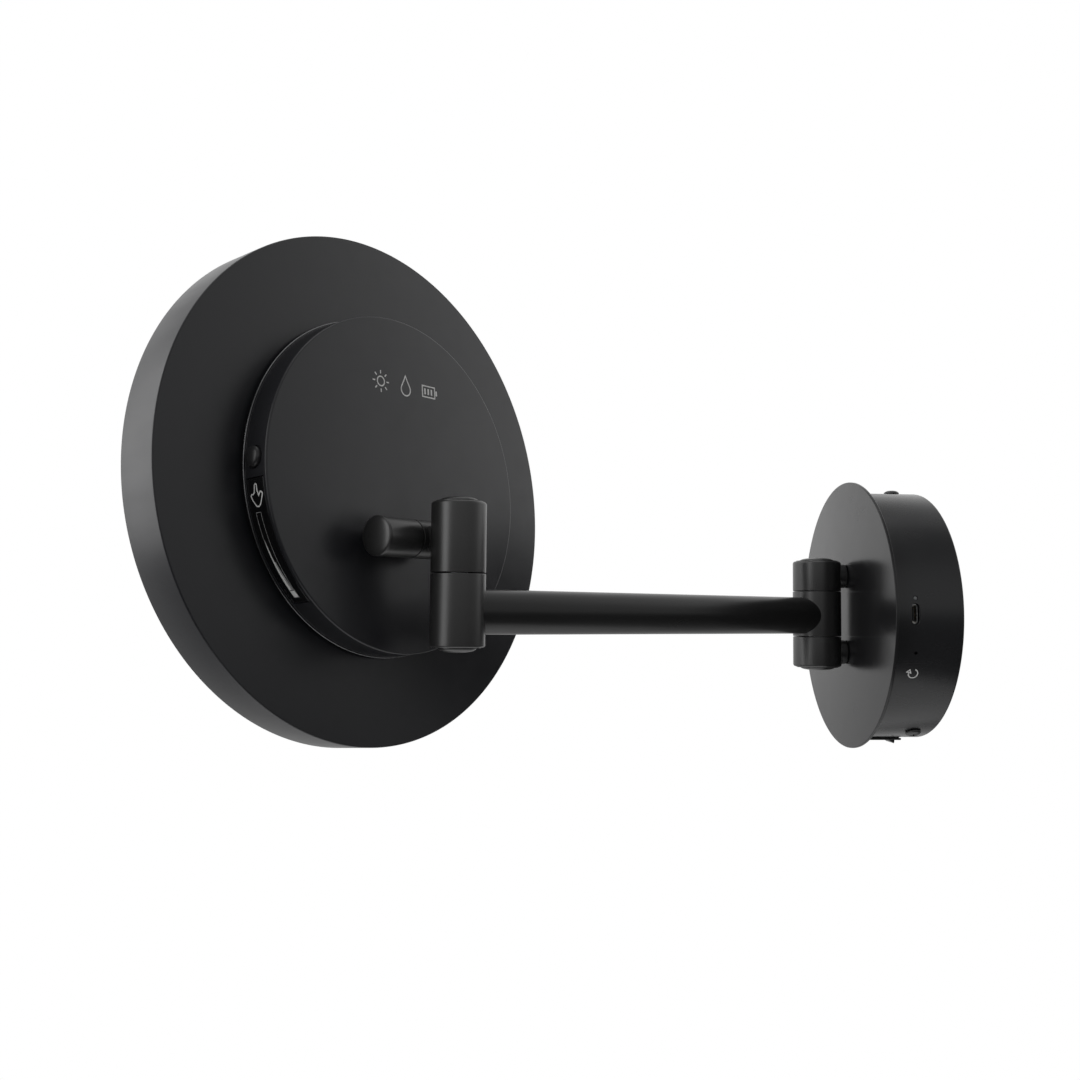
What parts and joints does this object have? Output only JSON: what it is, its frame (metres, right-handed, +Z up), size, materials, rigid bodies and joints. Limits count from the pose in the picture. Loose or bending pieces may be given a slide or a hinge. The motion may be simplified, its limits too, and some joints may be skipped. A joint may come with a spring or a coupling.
{
  "type": "extendable shaving mirror",
  "caption": "Round lit magnifying mirror on a swinging wall arm, with tilting head, rechargeable wall unit, rocker switch and touch dimmer.",
  "frame": {"origin": "centre of the wall bracket's back face, which lies flat on the wall", "axes": "+Y into the wall, the room towards -Y, +Z up, +X to the right for somebody facing the wall"},
  "size_m": [0.2324, 0.3535, 0.2248],
  "materials": {
    "black_coat": "satin black coating",
    "black_plastic": "moulded black",
    "gloss_black": "gloss",
    "steel": "plain",
    "nylon": "natural",
    "board": "green solder mask",
    "cell": "blue sleeve",
    "diffuser": "frosted white",
    "mirror": "silvered, concave"
  },
  "bodies": {
    "wall_unit": {"wall_bracket": "steel", "drum_housing": "black_coat", "front_plate": "black_coat", "housing_screw_top": "black_coat", "housing_screw_near": "black_coat", "housing_screw_far": "black_coat", "battery_tray": "black_plastic", "battery_cell_1": "cell", "battery_cell_2": "cell", "charge_board": "board", "usb_c_socket": "steel", "charge_light": "diffuser", "reset_switch": "black_plastic", "power_switch_body": "black_plastic", "hinge_knuckle_top": "black_coat", "hinge_knuckle_bottom": "black_coat", "hinge_pin": "steel", "hinge_cap_top": "black_coat", "hinge_cap_bottom": "black_coat", "post_screw_top": "steel", "post_screw_bottom": "steel"},
    "power_rocker": {"power_rocker": "gloss_black"},
    "reset_plunger": {"reset_plunger": "nylon"},
    "arm": {"arm_hinge_barrel": "black_coat", "hinge_washer_top": "nylon", "hinge_washer_bottom": "nylon", "arm_tube": "black_coat", "arm_cable": "black_plastic", "arm_swivel_barrel": "black_coat", "swivel_washer": "nylon", "swivel_cap_bottom": "black_coat"},
    "swivel": {"swivel_bracket": "black_coat", "swivel_cap_top": "black_coat", "swivel_pin": "steel", "tilt_pin": "steel", "tilt_cap_inner": "black_coat"},
    "mirror_head": {"tilt_knuckle": "black_coat", "tilt_washer": "nylon", "tilt_cap_outer": "black_coat", "rear_shell": "black_coat", "hub_housing": "black_coat", "touch_strip": "gloss_black", "touch_board": "board", "button_switch": "black_plastic", "hub_stiffener": "steel", "tilt_post_screw": "steel", "driver_board": "board", "mirror_carrier": "black_plastic", "led_ring_board": "board", "light_ring": "diffuser", "mirror_glass": "mirror", "carrier_spacer_1": "nylon", "carrier_spacer_2": "nylon", "carrier_spacer_3": "nylon"},
    "light_button": {"light_button": "black_plastic"}
  },
  "joints": [
    {"name": "arm_swing", "type": "hinge", "parent": "wall_unit", "child": "arm", "pos_m": [0, -0.0496, 0], "axis": [0, 0, 1], "range_deg": [-120, 55]},
    {"name": "head_swivel", "type": "hinge", "parent": "arm", "child": "swivel", "pos_m": [0.11632, -0.23219, 0], "axis": [0, 0, 1], "range_deg": [-10.5, 159.5]},
    {"name": "head_tilt", "type": "hinge", "parent": "swivel", "child": "mirror_head", "pos_m": [0.10462, -0.2452, 0.0281], "axis": [0.7431, -0.6691, 0], "range_deg": [-49, 15]},
    {"name": "light_button_press", "type": "slide", "parent": "mirror_head", "child": "light_button", "axis": [-0.7382, 0.6716, -0.0626], "range_m": [0, 0.0007], "stiffness_N_per_m": 2000},
    {"name": "rocker_tilt", "type": "hinge", "parent": "wall_unit", "child": "power_rocker", "pos_m": [0, -0.0194, -0.0613], "axis": [1, 0, 0], "range_deg": [0, 20]},
    {"name": "reset_press", "type": "slide", "parent": "wall_unit", "child": "reset_plunger", "axis": [-0.9583, 0, 0.2857], "range_m": [0, 0.0004], "stiffness_N_per_m": 800}
  ]
}
